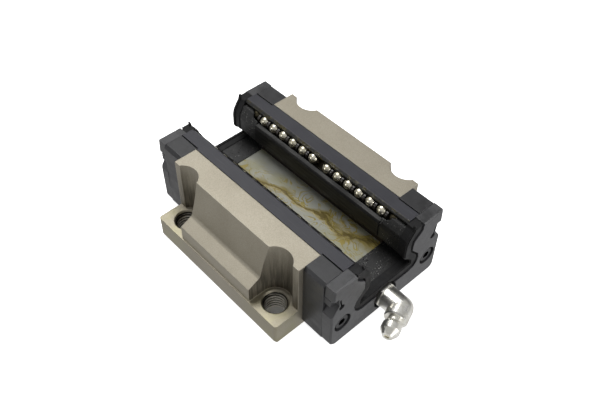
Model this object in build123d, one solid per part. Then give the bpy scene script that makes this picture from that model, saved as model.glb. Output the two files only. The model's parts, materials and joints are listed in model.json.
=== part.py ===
from build123d import *
import os
from math import atan2, cos, degrees, pi, radians, sin, sqrt

# Linear guide carriage, flanged, for a 23 mm wide rail. Millimetres.
# Origin: centre of the mounting face, which is the plane z = 0 and faces -Z.
# +Z points up into the rail channel, Y is the rail's axis (the grease nipple is at -Y), X goes across.

# --- steel body -------------------------------------------------------------
BODY_LENGTH = 59.5
BODY_HALF = BODY_LENGTH / 2
FLANGE_HALF_WIDTH = 35.0
LEG_HEIGHT = 28.7
LEG_HALF_WIDTH = 26.2
LEG_END_HALF_WIDTH = 25.7
PAD_HEIGHT = 8.5
SHOULDER_HALF_WIDTH = 34.5
SHOULDER_HEIGHT = 14.2
LEG_FOOT = (29.8, 16.4)
LEG_FOOT_RADIUS = 1.6
FLANGE_CHAMFER = 0.8
FLANGE_CORNER_RADIUS = 1.0
BOLT_X = 57.0 / 2
BOLT_Y = 45.0 / 2
BOLT_HOLE_RADIUS = 4.0
BOLT_HOLE_CHAMFER = 0.5
POCKET_RADIUS = 5.5
CHANNEL_FLOOR = 11.1
CHANNEL_HALF_WIDTH = 13.05
RIDGE_HALF_WIDTH = 11.0
OVERSHOOT = 1.0  # how far a cutting shape runs past what it cuts

# --- ball tracks --------------------------------------------------------------
BALL_RADIUS = 3.969 / 2
BALL_PITCH = 4.9
TRAIN_SLACK = 1.8
GROOVE_RADIUS = 2.05
TUNNEL_RADIUS = 2.2
TUBE_BORE_RADIUS = 2.15
TUBE_RADIUS = 2.6
TURN_RADIUS = 4.33
STRAIGHT_HALF = 30.4
UPPER_LOAD = (11.6, 25.2)
LOWER_LOAD = (11.0, 16.6)
UPPER_TILT = -20.0
LOWER_TILT = -5.0
GAP_CENTRE = 0.0
SPACER_RADIUS = 1.5
SPACER_HALF_CORE = 0.26
SPACER_HALF_RIM = 0.45

# --- plastic retainers ----------------------------------------------------------
CLAW_RADIUS = 2.12
STRIP_SEAT = 26.6
STRIP_INNER = 12.0
STRIP_OUTER = 16.9
STRIP_OUTER_IN_HEAD = 16.2
STRIP_SLOT_GAP = 0.45
LIP_TIP = (11.3, 27.1)
LIP_TOP_Z = LEG_HEIGHT - 0.8
LIP_FOOT_X = 13.0
SEAT_HALF_WIDTH = 17.1
WAIST_HALF_WIDTH = 7.9
LEDGE_LOW_CORNER = (WAIST_HALF_WIDTH, 17.4)
LEDGE_LOW_TIP = (8.95, 16.9)
LEDGE_TOP_CORNER = (WAIST_HALF_WIDTH, 23.2)
LEDGE_TOP_BEVEL = (WAIST_HALF_WIDTH + 0.5, 24.0)
LEDGE_TOP_TIP = (9.65, 24.45)
LEDGE_ROOT_Z = (17.6, 24.2)
FLOOR_STRIP_TOP_Z = 16.3
FLOOR_STRIP_TIP = (11.9, 14.9)
FLOOR_STRIP_FACE = ((RIDGE_HALF_WIDTH + 0.5, 14.0), (RIDGE_HALF_WIDTH + 0.2, 11.9))

# --- end caps -------------------------------------------------------------------
HEAD_LENGTH = 8.6
HEAD_END = BODY_HALF + HEAD_LENGTH
HEAD_HALF_WIDTH = 23.9
HEAD_TOP_HALF_WIDTH = 22.8
HEAD_BASE = 0.6
HEAD_FOOT_CHAMFER = 1.5
HEAD_CLEARANCE = 0.5
WEB_X = (13.9, 17.1)
WEB_Z = (16.5, 23.5)
WEB_THICKNESS = 1.2
WEB_FIT = 0.05
SPOOL_FIT = 0.05
SPOOL_SIDE_GAP = 0.1
GREASE_GROOVE_X = (13.8, 15.2)
GREASE_GROOVE_HALF_HEIGHT = 0.8
GREASE_GROOVE_DEPTH = 1.2
PLATE_START = HEAD_END + 0.05
PLATE_THICKNESS = 3.9
PLATE_END = PLATE_START + PLATE_THICKNESS
PLATE_HALF_WIDTH = 24.0
PLATE_TOP_HALF_WIDTH = 23.4
PLATE_TOP = 28.6
PLATE_BASE = 0.45
PLATE_WIDEST_Z = 16.0
PLATE_FOOT_DRAFT = 0.2
PLATE_CORNER_RADIUS = 2.5
PLATE_EDGE = 0.5
END_CLEAR_HALF = 11.4
WIPER_GROOVE = 0.5
WIPER_GROOVE_DEPTH = 1.2
WIPER_LIP = 0.8
WIPER_LIP_START = PLATE_END - 1.5
WIPER_LIP_GROWTH = 0.6
WIPER_LIP_TOP = PLATE_TOP + 0.8
WIPER_CLEARANCE = 0.3
WIPER_SET_BACK = 0.4
WIPER_TOP = PLATE_TOP - 0.3
WIPER_RECESS_GAP = 0.1
NOTCH_TOP = 23.7
NOTCH_INNER_TOP = 21.5
NOTCH_INNER = (21.1, 20.3)
NOTCH_SIDE_FOOT = (23.8, 16.2)
NOTCH_HOLE = (20.1, 18.7)
NOTCH_HOLE_RADIUS = 1.1
NOTCH_SLOT_TOP = (20.8, 22.5)
NOTCH_SLOT_WIDTH = 0.6
NOTCH_SLOT_DEPTH = 2.4
HOOK_GAP = 0.3
HOOK_LENGTH = 2.6
HOOK_HEIGHT = 2.9
HOOK_ROOT = 0.5

# --- fasteners and lubrication ------------------------------------------------------
SCREW_X = 19.1
SCREW_Z = 9.7
SCREW_RADIUS = 1.6
SCREW_HOLE_RADIUS = 1.75
SCREW_HEAD_RADIUS = 2.85
SCREW_POCKET_RADIUS = 3.4
SCREW_POCKET_FLOOR = PLATE_END - 2.7
SCREW_HEAD_HEIGHT = 2.3
SCREW_HEAD_CHAMFER = 0.3
SCREW_DEPTH = 8.0
SOCKET_FLATS = 2.5
SOCKET_DEPTH = 1.4
PORT_Z = 5.9
PORT_RECESS_RADIUS = 5.0
PORT_RECESS_FLOOR = PLATE_END - 2.0
BUSH_RADIUS = 3.8
BUSH_FIT = 0.02
THREAD_RADIUS = 2.95
BUSH_BORE_RADIUS = 3.0
BUSH_DEPTH = 6.0
PLUG_SOCKET_FLATS = 3.0
PLUG_SOCKET_DEPTH = 2.0

# --- grease nipple ----------------------------------------------------------------
NIPPLE_HEX = 8.0
NIPPLE_HEX_THICKNESS = 2.6
NIPPLE_BODY_RADIUS = 3.9
NIPPLE_BEND_Y = -(PLATE_END + 6.8)
NIPPLE_OUTWARD_TILT = 20.5
NIPPLE_PASSAGE_RADIUS = 0.8
NIPPLE_STEM_RADIUS = 1.9
NIPPLE_STEM_START = 3.4
NIPPLE_LEG_CHAMFER = 0.4
HEAD_START = 5.0
NECK_LENGTH = 1.2
HEAD_TIP = 11.6
NECK_RADIUS = 2.5
HEAD_RADIUS = 3.15
TIP_RADIUS = 1.7
VALVE_BALL_RADIUS = 1.0
VALVE_SEAT_RADIUS = 0.85
VALVE_SEAT_DEPTH = 0.6
VALVE_CHAMBER_RADIUS = 1.25
VALVE_CHAMBER_START = 6.4
SPRING_WIRE = 0.14
SPRING_RADIUS = 0.8
SPRING_TURNS = 4
SPRING_SEAT_GAP = 0.75
NIPPLE_THREAD_LENGTH = 5.0
VALVE_SEAT_GAP = 0.01
HEAD_SHOULDER_STEP = 0.15


# --- helpers -----------------------------------------------------------------------
def both_sides(points):
    """Closed outline from its right half, which runs from the bottom centre to the top centre."""
    left = [(-x, z) for x, z in reversed(points) if x > 0]
    return Polygon(*points, *left, align=None)


def prism(section, y_from, y_to):
    """Section drawn in X and Z, made solid from y_from to y_to."""
    return extrude(Plane.XZ.offset(-y_to) * section, amount=y_to - y_from, dir=(0, -1, 0))


def rod(x, z, radius, y_from, y_to):
    """Cylinder along Y."""
    return prism(Pos(x, z) * Circle(radius), y_from, y_to)


def slab(x_range, y_range, z_range):
    """Box from its lowest and highest values."""
    size = [high - low for low, high in (x_range, y_range, z_range)]
    middle = [(high + low) / 2 for low, high in (x_range, y_range, z_range)]
    return Pos(*middle) * Box(*size)


def rectangle(x_range, z_range):
    """Flat rectangle from its lowest and highest values."""
    low_x, high_x = x_range
    low_z, high_z = z_range
    return Polygon((low_x, low_z), (high_x, low_z), (high_x, high_z), (low_x, high_z), align=None)


def edges_at(shape, y):
    """Edges that lie in the plane at this y."""
    return shape.edges().filter_by_position(Axis.Y, y - 0.01, y + 0.01)


def flip_x(shape):
    """Mirror image across the plane x = 0."""
    return mirror(shape, about=Plane.YZ)


def flip_y(shape):
    """Mirror image across the plane y = 0."""
    return mirror(shape, about=Plane.XZ)


def write(name, *shapes):
    """One STEP file for a node, with each shape's solids kept separate."""
    solids = [solid for shape in shapes for solid in shape.solids()]
    export_step(solids[0] if len(solids) == 1 else Compound(children=solids), f"parts/{name}.step")


# --- ball circuits -------------------------------------------------------------------
class Circuit:
    """One endless ball track: a straight load row, a straight return row and two half turns."""

    def __init__(self, load, tilt, side):
        span = 2 * TURN_RADIUS
        self.load = (side * load[0], load[1])
        self.tilt = radians(tilt)
        self.side = side
        self.across = Vector(side * cos(self.tilt), 0, sin(self.tilt))
        self.back = (self.load[0] + span * self.across.X, self.load[1] + span * self.across.Z)
        self.middle = ((self.load[0] + self.back[0]) / 2, (self.load[1] + self.back[1]) / 2)

    def turn_plane(self, end):
        """Plane of the half turn at the +Y end (end = 1) or the -Y end (end = -1)."""
        normal = self.across.cross(Vector(0, 1, 0))
        origin = (self.middle[0], end * STRAIGHT_HALF, self.middle[1])
        return Plane(origin=origin, x_dir=self.across, z_dir=normal)

    def place(self, distance):
        """Location on the track, with its local Z along the track, from the load row's -Y end."""
        straight = 2 * STRAIGHT_HALF
        half_turn = pi * TURN_RADIUS
        distance = distance % (2 * straight + 2 * half_turn)
        if distance < straight:
            return "load", self.straight_place(self.load, distance - STRAIGHT_HALF, 1)
        distance -= straight
        if distance < half_turn:
            return "far_turn", self.turn_place(distance / TURN_RADIUS, 1)
        distance -= half_turn
        if distance < straight:
            return "return", self.straight_place(self.back, STRAIGHT_HALF - distance, -1)
        distance -= straight
        return "near_turn", self.turn_place(distance / TURN_RADIUS, -1)

    def straight_place(self, line, y, way):
        """Location on a straight row."""
        return Location(Plane(origin=(line[0], y, line[1]), x_dir=self.across, z_dir=(0, way, 0)))

    def turn_place(self, angle, end):
        """Location on a half turn, at an angle from where the balls enter it."""
        outward = -end * cos(angle) * TURN_RADIUS
        along = end * sin(angle) * TURN_RADIUS
        middle = Vector(self.middle[0], end * STRAIGHT_HALF, self.middle[1])
        origin = middle + self.across * outward + Vector(0, along, 0)
        heading = self.across * (end * sin(angle)) + Vector(0, end * cos(angle), 0)
        return Location(Plane(origin=origin, x_dir=self.across.cross(Vector(0, 1, 0)), z_dir=heading))


def spacer():
    """Thin plastic disc, dished on both faces, that keeps two balls apart. Its axis is local Z."""
    rim_arc = ThreePointArc(
        (0, SPACER_HALF_CORE),
        (SPACER_RADIUS / 2, SPACER_HALF_CORE + (SPACER_HALF_RIM - SPACER_HALF_CORE) / 4),
        (SPACER_RADIUS, SPACER_HALF_RIM),
    )
    edges = rim_arc + Line((SPACER_RADIUS, SPACER_HALF_RIM), (SPACER_RADIUS, 0))
    edges += Line((SPACER_RADIUS, 0), (0, 0)) + Line((0, 0), (0, SPACER_HALF_CORE))
    half = revolve(Plane.XZ * make_face(edges), axis=Axis.Z)
    return half + mirror(half, about=Plane.XY)


def write_circuit(circuit, name):
    """Balls and spacers of one circuit, sorted by the stretch of track that they are on.

    A spacer beside a ball that is in a half turn moves with that ball.
    """
    straight = 2 * STRAIGHT_HALF
    loop = 2 * straight + 2 * pi * TURN_RADIUS
    count = round((loop - TRAIN_SLACK) / BALL_PITCH)
    first = STRAIGHT_HALF + GAP_CENTRE + (BALL_PITCH + TRAIN_SLACK) / 2
    ball = Sphere(BALL_RADIUS)
    disc = spacer()
    places = [circuit.place(first + index * BALL_PITCH) for index in range(count)]
    groups = {}
    for index, (stretch, location) in enumerate(places):
        groups.setdefault(stretch + "_balls", []).append(location * ball)
        if index < count - 1:
            next_stretch = places[index + 1][0]
            owner = next_stretch if "turn" in next_stretch else stretch
            location = circuit.place(first + (index + 0.5) * BALL_PITCH)[1]
            groups.setdefault(owner + "_spacers", []).append(location * disc)
    for stretch, pieces in groups.items():
        write(f"{name}_{stretch}", *pieces)


# --- steel body ---------------------------------------------------------------------
def pocket_outline():
    """Plan of the pad cut-out in the +X +Y corner: round at the bolt, open to the side and the end."""
    outer = FLANGE_HALF_WIDTH + OVERSHOOT
    end = BODY_HALF + OVERSHOOT
    plan = Pos(BOLT_X, BOLT_Y) * Circle(POCKET_RADIUS)
    plan += rectangle((BOLT_X, outer), (BOLT_Y - POCKET_RADIUS, end))
    plan += rectangle((LEG_END_HALF_WIDTH, outer), (BOLT_Y, end))
    return plan


def saddle_section():
    """Cross-section of the flange and legs, before pockets and bores."""
    outline = both_sides([
        (FLANGE_HALF_WIDTH - FLANGE_CHAMFER, 0),
        (FLANGE_HALF_WIDTH, FLANGE_CHAMFER),
        (FLANGE_HALF_WIDTH, PAD_HEIGHT),
        (SHOULDER_HALF_WIDTH, PAD_HEIGHT),
        (SHOULDER_HALF_WIDTH, SHOULDER_HEIGHT),
        LEG_FOOT,
        (LEG_HALF_WIDTH, LEG_HEIGHT),
    ])
    feet = [v for v in outline.vertices() if abs(abs(v.X) - LEG_FOOT[0]) < 0.01]
    outline = fillet(feet, LEG_FOOT_RADIUS)
    outline -= rectangle((-SEAT_HALF_WIDTH, SEAT_HALF_WIDTH), (STRIP_SEAT, LEG_HEIGHT + OVERSHOOT))
    outline -= rectangle((-RIDGE_HALF_WIDTH, RIDGE_HALF_WIDTH), (CHANNEL_FLOOR, LEG_HEIGHT))
    outline -= rectangle((-CHANNEL_HALF_WIDTH, CHANNEL_HALF_WIDTH), (CHANNEL_FLOOR, LOWER_LOAD[1]))
    for side in (1, -1):
        for x, z in (UPPER_LOAD, LOWER_LOAD):
            outline -= Pos(side * x, z) * Circle(GROOVE_RADIUS)
    return outline


def saddle_plate(circuits):
    """Hardened steel body with its flange, pads, raceways, return bores and tapped holes."""
    body = prism(saddle_section(), -BODY_HALF, BODY_HALF)
    pocket = extrude(Plane.XY.offset(PAD_HEIGHT) * pocket_outline(), amount=LEG_HEIGHT)
    corner = extrude(corner_sliver(), amount=LEG_HEIGHT)
    for cut in (pocket, corner):
        for shape in (cut, flip_x(cut), flip_y(cut), flip_x(flip_y(cut))):
            body -= shape
    for x in (BOLT_X, -BOLT_X):
        for y in (BOLT_Y, -BOLT_Y):
            body -= Pos(x, y, PAD_HEIGHT / 2) * bolt_hole()
    for circuit in circuits:
        body -= rod(*circuit.back, TUBE_RADIUS, -BODY_HALF - OVERSHOOT, BODY_HALF + OVERSHOOT)
    for x in (SCREW_X, -SCREW_X):
        for end in (1, -1):
            bottom = BODY_HALF - SCREW_DEPTH - OVERSHOOT
            low, high = sorted((end * bottom, end * (BODY_HALF + OVERSHOOT)))
            body -= rod(x, SCREW_Z, SCREW_HOLE_RADIUS, low, high)
    return body


def bolt_hole():
    """Bore through a pad at its thread's outer radius, widened at both mouths."""
    hole = Cylinder(BOLT_HOLE_RADIUS, PAD_HEIGHT + OVERSHOOT)
    mouth = Cone(BOLT_HOLE_RADIUS, BOLT_HOLE_RADIUS + 2 * BOLT_HOLE_CHAMFER, 2 * BOLT_HOLE_CHAMFER)
    hole += Pos(0, 0, PAD_HEIGHT / 2) * mouth
    hole += mirror(Pos(0, 0, PAD_HEIGHT / 2) * mouth, about=Plane.XY)
    return hole


def corner_sliver():
    """Plan of what rounding takes off the flange's +X +Y corner."""
    radius = FLANGE_CORNER_RADIUS
    inner_x = FLANGE_HALF_WIDTH - radius
    inner_y = BODY_HALF - radius
    square = rectangle(
        (inner_x, FLANGE_HALF_WIDTH + OVERSHOOT), (inner_y, BODY_HALF + OVERSHOOT)
    )
    return square - Pos(inner_x, inner_y) * Circle(radius)


# --- retainers ---------------------------------------------------------------------
def claw(centre, radius=CLAW_RADIUS):
    """Round clearance for a load row in a retainer's section."""
    return Pos(*centre) * Circle(radius)


def top_retainer(upper):
    """Strip on the top of the +X leg, with a lip over the upper circuit's load row and its turns."""
    lip = [(STRIP_INNER, LEG_HEIGHT), (LIP_TIP[0], LIP_TOP_Z), LIP_TIP, (LIP_FOOT_X, STRIP_SEAT)]
    over_steel = Polygon(*lip, (STRIP_OUTER, STRIP_SEAT), (STRIP_OUTER, LEG_HEIGHT), align=None)
    in_head = Polygon(
        *lip, (STRIP_OUTER_IN_HEAD, STRIP_SEAT), (STRIP_OUTER_IN_HEAD, LEG_HEIGHT), align=None
    )
    strip = prism(over_steel - claw(UPPER_LOAD), -BODY_HALF, BODY_HALF)
    strip += prism(in_head - claw(UPPER_LOAD, TUNNEL_RADIUS), BODY_HALF, HEAD_END)
    strip += prism(in_head - claw(UPPER_LOAD, TUNNEL_RADIUS), -HEAD_END, -BODY_HALF)
    for end in (1, -1):
        strip -= upper.turn_plane(end) * Torus(TURN_RADIUS, TUNNEL_RADIUS)
    return strip


def centre_retainer():
    """Ledge between the two load rows of the +X leg, standing in the rail's waist."""
    section = Polygon(
        (RIDGE_HALF_WIDTH, LEDGE_ROOT_Z[0]),
        LEDGE_LOW_TIP,
        LEDGE_LOW_CORNER,
        LEDGE_TOP_CORNER,
        LEDGE_TOP_BEVEL,
        LEDGE_TOP_TIP,
        (RIDGE_HALF_WIDTH, LEDGE_ROOT_Z[1]),
        align=None,
    )
    section -= claw(LOWER_LOAD)
    section -= claw(UPPER_LOAD)
    return prism(section, -BODY_HALF, BODY_HALF)


def floor_retainer():
    """Strip in the corner of the channel, under the lower load row of the +X leg."""
    section = Polygon(
        (RIDGE_HALF_WIDTH, CHANNEL_FLOOR),
        (CHANNEL_HALF_WIDTH, CHANNEL_FLOOR),
        (CHANNEL_HALF_WIDTH, FLOOR_STRIP_TOP_Z),
        FLOOR_STRIP_TIP,
        *FLOOR_STRIP_FACE,
        align=None,
    )
    return prism(section - claw(LOWER_LOAD), -BODY_HALF, BODY_HALF)


# --- end caps --------------------------------------------------------------------------
def clearance_half(extra=0.0):
    """Right half of the opening that the rail passes through, grown outward by extra."""
    return [
        (END_CLEAR_HALF + extra, 11.8 - extra),
        (11.0 + extra, 13.8),
        (9.3 + extra, 15.3 + extra / 2),
        (8.0 + extra, 16.4 + extra / 2),
        (7.7 + extra, 17.2),
        (7.7 + extra, 22.0),
        (8.1 + extra, 24.0 - extra / 2),
        (9.2 + extra, 25.9 - extra / 2),
        (10.4 + extra, 27.4),
        (11.2 + extra, LEG_HEIGHT + 2),
    ]


def wiper_half(shift=0.0):
    """Right half of the wiper's outer outline, from the top corner down, moved outward by shift."""
    return [
        (14.4 + shift, PLATE_TOP + OVERSHOOT),
        (14.4 + shift, 28.4),
        (14.0 + shift, 27.6),
        (14.0 + shift, 26.3 - shift),
        (12.6 + shift, 24.9 - shift),
        (10.7 + shift, 23.3 - shift),
        (10.4 + shift, 21.5),
        (10.4 + shift, 18.9 + shift),
        (12.0 + shift, 16.9 + shift),
        (13.7 + shift, 15.0 + shift),
        (14.2 + shift, 13.0),
        (13.7 + shift, 11.0),
        (12.3 + shift, 9.6 - shift),
        (10.2, 9.0 - shift),
    ]


def return_head(circuits):
    """Moulded block at the +Y end that turns the four ball tracks round and takes in grease."""
    side_top = LEG_HEIGHT - (HEAD_HALF_WIDTH - HEAD_TOP_HALF_WIDTH)
    outline = both_sides([
        (HEAD_HALF_WIDTH - HEAD_FOOT_CHAMFER, HEAD_BASE),
        (HEAD_HALF_WIDTH, HEAD_BASE + HEAD_FOOT_CHAMFER),
        (HEAD_HALF_WIDTH, side_top),
        (HEAD_TOP_HALF_WIDTH, LEG_HEIGHT),
    ])
    outline -= both_sides(clearance_half(HEAD_CLEARANCE))
    slot_outer = STRIP_OUTER_IN_HEAD + STRIP_SLOT_GAP
    for side in (1, -1):
        low, high = sorted((0, side * slot_outer))
        outline -= rectangle((low, high), (STRIP_SEAT, LEG_HEIGHT + OVERSHOOT))
    head = prism(outline, BODY_HALF, HEAD_END)
    for circuit in circuits:
        plane = circuit.turn_plane(1)
        head -= plane * Torus(TURN_RADIUS, TUNNEL_RADIUS)
        head -= plane * Cylinder(TURN_RADIUS, 2 * TUNNEL_RADIUS)
        for line in (circuit.load, circuit.back):
            head -= rod(*line, TUNNEL_RADIUS, BODY_HALF - OVERSHOOT, STRAIGHT_HALF)
    for side in (1, -1):
        head -= guide_web_seat(side)
        head -= rod(side * SCREW_X, SCREW_Z, SCREW_HOLE_RADIUS, BODY_HALF - OVERSHOOT, HEAD_END + OVERSHOOT)
        head -= grease_groove(side)
    head -= rod(0, PORT_Z, BUSH_RADIUS + BUSH_FIT, BODY_HALF - OVERSHOOT, HEAD_END + OVERSHOOT)
    return head + hook(1) + hook(-1)


def grease_groove(side):
    """Groove in the head's inner face that takes grease from the port to one leg's tracks."""
    y_range = (BODY_HALF - OVERSHOOT, BODY_HALF + GREASE_GROOVE_DEPTH)
    z_range = (PORT_Z - GREASE_GROOVE_HALF_HEIGHT, PORT_Z + GREASE_GROOVE_HALF_HEIGHT)
    inner, outer = [side * x for x in GREASE_GROOVE_X]
    groove = slab(sorted((0, outer)), y_range, z_range)
    return groove + slab(sorted((inner, outer)), y_range, (PORT_Z, LOWER_LOAD[1]))


def guide_web(side):
    """Thin bridge that joins the two turn guides of one leg."""
    return slab(sorted(side * x for x in WEB_X), (BODY_HALF, BODY_HALF + WEB_THICKNESS), WEB_Z)


def guide_web_seat(side):
    """Space for that bridge in the head."""
    x_range = sorted((side * (WEB_X[0] - WEB_FIT), side * (WEB_X[1] + WEB_FIT)))
    return slab(x_range, (BODY_HALF - OVERSHOOT, BODY_HALF + WEB_THICKNESS + WEB_FIT), WEB_Z)


def turn_guide(circuits, side):
    """Inner half of both turnarounds of one leg at the +Y end: two spools on a bridge."""
    guide = guide_web(side)
    for circuit in circuits:
        height = 2 * (TUNNEL_RADIUS - SPOOL_SIDE_GAP)
        spool = circuit.turn_plane(1) * Cylinder(TURN_RADIUS - SPOOL_FIT, height)
        room = slab(
            (-FLANGE_HALF_WIDTH, FLANGE_HALF_WIDTH), (BODY_HALF, HEAD_END), (0, STRIP_SEAT - SPOOL_SIDE_GAP)
        )
        guide += spool & room
    for circuit in circuits:
        guide -= circuit.turn_plane(1) * Torus(TURN_RADIUS, TUNNEL_RADIUS)
        for line in (circuit.load, circuit.back):
            guide -= rod(*line, TUNNEL_RADIUS, BODY_HALF - OVERSHOOT, STRAIGHT_HALF)
    return guide


def plate_outline():
    """Outer outline of an end plate."""
    outline = both_sides([
        (PLATE_HALF_WIDTH - PLATE_FOOT_DRAFT, PLATE_BASE),
        (PLATE_HALF_WIDTH, PLATE_WIDEST_Z),
        (PLATE_TOP_HALF_WIDTH, PLATE_TOP),
    ])
    feet = [v for v in outline.vertices() if v.Y < PLATE_CORNER_RADIUS]
    return fillet(feet, PLATE_CORNER_RADIUS)


def end_plate():
    """Cover plate at the +Y end, with the wiper's seat, screw pockets, snap notches and port recess."""
    seat = both_sides(list(reversed(wiper_half(WIPER_GROOVE / 2))))
    plate = prism(plate_outline(), PLATE_START, PLATE_END)
    plate = chamfer(edges_at(plate, PLATE_END), PLATE_EDGE)
    plate -= prism(seat, PLATE_START - OVERSHOOT, PLATE_END + OVERSHOOT)
    for side in (1, -1):
        x = side * SCREW_X
        plate -= rod(x, SCREW_Z, SCREW_POCKET_RADIUS, SCREW_POCKET_FLOOR, PLATE_END + OVERSHOOT)
        plate -= rod(x, SCREW_Z, SCREW_HOLE_RADIUS, PLATE_START - OVERSHOOT, PLATE_END + OVERSHOOT)
        plate -= snap_notch(side)
    plate -= rod(0, PORT_Z, PORT_RECESS_RADIUS, PORT_RECESS_FLOOR, PLATE_END + OVERSHOOT)
    plate -= rod(0, PORT_Z, BUSH_RADIUS + BUSH_FIT, PLATE_START - OVERSHOOT, PLATE_END)
    return plate


def notch_outline():
    """Bite out of the plate's +X side: square at the top, slanting out to the side below."""
    beyond = PLATE_HALF_WIDTH + OVERSHOOT
    run, rise = (NOTCH_SIDE_FOOT[0] - NOTCH_INNER[0], NOTCH_SIDE_FOOT[1] - NOTCH_INNER[1])
    foot = NOTCH_INNER[1] + rise * (beyond - NOTCH_INNER[0]) / run
    return Polygon(
        (beyond, foot), (beyond, NOTCH_TOP), (NOTCH_INNER_TOP, NOTCH_TOP), NOTCH_INNER, align=None
    )


def snap_notch(side):
    """Notch for the head's hook, and the slot and hole beside it that let its inner wall spring."""
    slot_foot, slot_top = Vector(*NOTCH_HOLE), Vector(*NOTCH_SLOT_TOP)
    middle = (slot_foot + slot_top) / 2
    run = slot_top - slot_foot
    slot = Pos(middle.X, middle.Y) * Rot(0, 0, degrees(atan2(run.Y, run.X)))
    relief = slot * SlotCenterToCenter(run.length, NOTCH_SLOT_WIDTH)
    relief += Pos(*NOTCH_HOLE) * Circle(NOTCH_HOLE_RADIUS)
    cut = prism(notch_outline(), PLATE_START - OVERSHOOT, PLATE_END + OVERSHOOT)
    cut += prism(relief, PLATE_END - NOTCH_SLOT_DEPTH, PLATE_END + OVERSHOOT)
    return cut if side > 0 else flip_x(cut)


def hook(side):
    """Snap hook on the return head that stands in the plate's notch."""
    top = NOTCH_TOP - HOOK_GAP
    inner = NOTCH_INNER_TOP + HOOK_GAP
    outer = HEAD_HALF_WIDTH - HOOK_GAP
    section = rectangle((inner, outer), (top - HOOK_HEIGHT, top))
    block = prism(section, HEAD_END - HOOK_ROOT, HEAD_END + HOOK_LENGTH)
    return block if side > 0 else flip_x(block)


def wiper():
    """Rubber wiper at the +Y end: a body set in the end plate and a thin lip that follows the rail."""
    opening = both_sides(clearance_half(WIPER_CLEARANCE))
    body = both_sides(list(reversed(wiper_half(-WIPER_GROOVE / 2)))) - opening
    seat = both_sides(list(reversed(wiper_half(WIPER_GROOVE / 2)))) - opening
    lip = both_sides(clearance_half(WIPER_LIP_GROWTH)) - both_sides(clearance_half())
    width = (-PLATE_HALF_WIDTH, PLATE_HALF_WIDTH)
    below_top = rectangle(width, (0, WIPER_TOP))
    piece = prism(body & below_top, PLATE_START, PLATE_END - WIPER_SET_BACK)
    piece += prism(seat & below_top, PLATE_START, PLATE_END - WIPER_GROOVE_DEPTH)
    below_horn = rectangle(width, (0, WIPER_LIP_TOP))
    piece += prism(lip & below_horn, WIPER_LIP_START, WIPER_LIP_START + WIPER_LIP)
    recess = PORT_RECESS_RADIUS + WIPER_RECESS_GAP
    piece -= rod(0, PORT_Z, recess, PLATE_START - OVERSHOOT, PLATE_END + OVERSHOOT)
    return piece


# --- fasteners and lubrication -----------------------------------------------------------
def end_screw(x):
    """Socket head screw that holds the +Y end cap to the steel."""
    head_end = SCREW_POCKET_FLOOR + SCREW_HEAD_HEIGHT
    head = rod(x, SCREW_Z, SCREW_HEAD_RADIUS, SCREW_POCKET_FLOOR, head_end)
    head = chamfer(edges_at(head, head_end), SCREW_HEAD_CHAMFER)
    socket = Pos(x, SCREW_Z) * RegularPolygon(SOCKET_FLATS / 2, 6, major_radius=False)
    head -= prism(socket, head_end - SOCKET_DEPTH, head_end + OVERSHOOT)
    return head + rod(x, SCREW_Z, SCREW_RADIUS, BODY_HALF - SCREW_DEPTH, SCREW_POCKET_FLOOR)


def port_bush():
    """Threaded bush that the nipple or plug screws into, at the +Y end."""
    start, end = (PORT_RECESS_FLOOR - BUSH_DEPTH, PORT_RECESS_FLOOR)
    bush = rod(0, PORT_Z, BUSH_RADIUS, start, end)
    return bush - rod(0, PORT_Z, BUSH_BORE_RADIUS, start - OVERSHOOT, end + OVERSHOOT)


def port_plug():
    """Socket set screw that closes the unused port at the +Y end."""
    start, end = (PORT_RECESS_FLOOR - BUSH_DEPTH, PORT_RECESS_FLOOR)
    plug = rod(0, PORT_Z, BUSH_RADIUS, start, end)
    socket = Pos(0, PORT_Z) * RegularPolygon(PLUG_SOCKET_FLATS / 2, 6, major_radius=False)
    return plug - prism(socket, end - PLUG_SOCKET_DEPTH, end + OVERSHOOT)


def arm_plane():
    """Plane at the nipple's bend, whose local Z runs along the arm that carries the nipple head."""
    tilt = radians(NIPPLE_OUTWARD_TILT)
    return Plane(
        origin=(0, NIPPLE_BEND_Y, PORT_Z), x_dir=(0, 0, 1), z_dir=(-cos(tilt), -sin(tilt), 0)
    )


def arm_rod(radius, start, end):
    """Cylinder along the nipple's arm."""
    return arm_plane().offset(start) * Cylinder(
        radius, end - start, align=(Align.CENTER, Align.CENTER, Align.MIN)
    )


def nipple_elbow():
    """Threaded stem, hexagon and bent body of the grease nipple, with its grease passage."""
    seat_y = -PORT_RECESS_FLOOR
    hexagon = Pos(0, PORT_Z) * RegularPolygon(NIPPLE_HEX / 2, 6, major_radius=False)
    leg = arm_rod(NIPPLE_BODY_RADIUS, 0, HEAD_START)
    leg = chamfer(leg.edges().sort_by_distance(arm_point(HEAD_START))[:1], NIPPLE_LEG_CHAMFER)
    elbow = rod(0, PORT_Z, THREAD_RADIUS, seat_y, seat_y + NIPPLE_THREAD_LENGTH)
    elbow += prism(hexagon, seat_y - NIPPLE_HEX_THICKNESS, seat_y)
    elbow += rod(0, PORT_Z, NIPPLE_BODY_RADIUS, NIPPLE_BEND_Y, seat_y)
    elbow += arm_plane() * Sphere(NIPPLE_BODY_RADIUS)
    elbow += leg
    thread_end = seat_y + NIPPLE_THREAD_LENGTH
    elbow -= rod(0, PORT_Z, NIPPLE_PASSAGE_RADIUS, NIPPLE_BEND_Y, thread_end + OVERSHOOT)
    elbow -= arm_plane() * Sphere(NIPPLE_PASSAGE_RADIUS)
    elbow -= arm_rod(NIPPLE_PASSAGE_RADIUS, 0, HEAD_START)
    elbow -= arm_rod(NIPPLE_STEM_RADIUS, NIPPLE_STEM_START, HEAD_START + OVERSHOOT)
    return elbow


def arm_point(distance):
    """Point on the axis of the nipple's arm."""
    return arm_plane().offset(distance).origin


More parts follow.
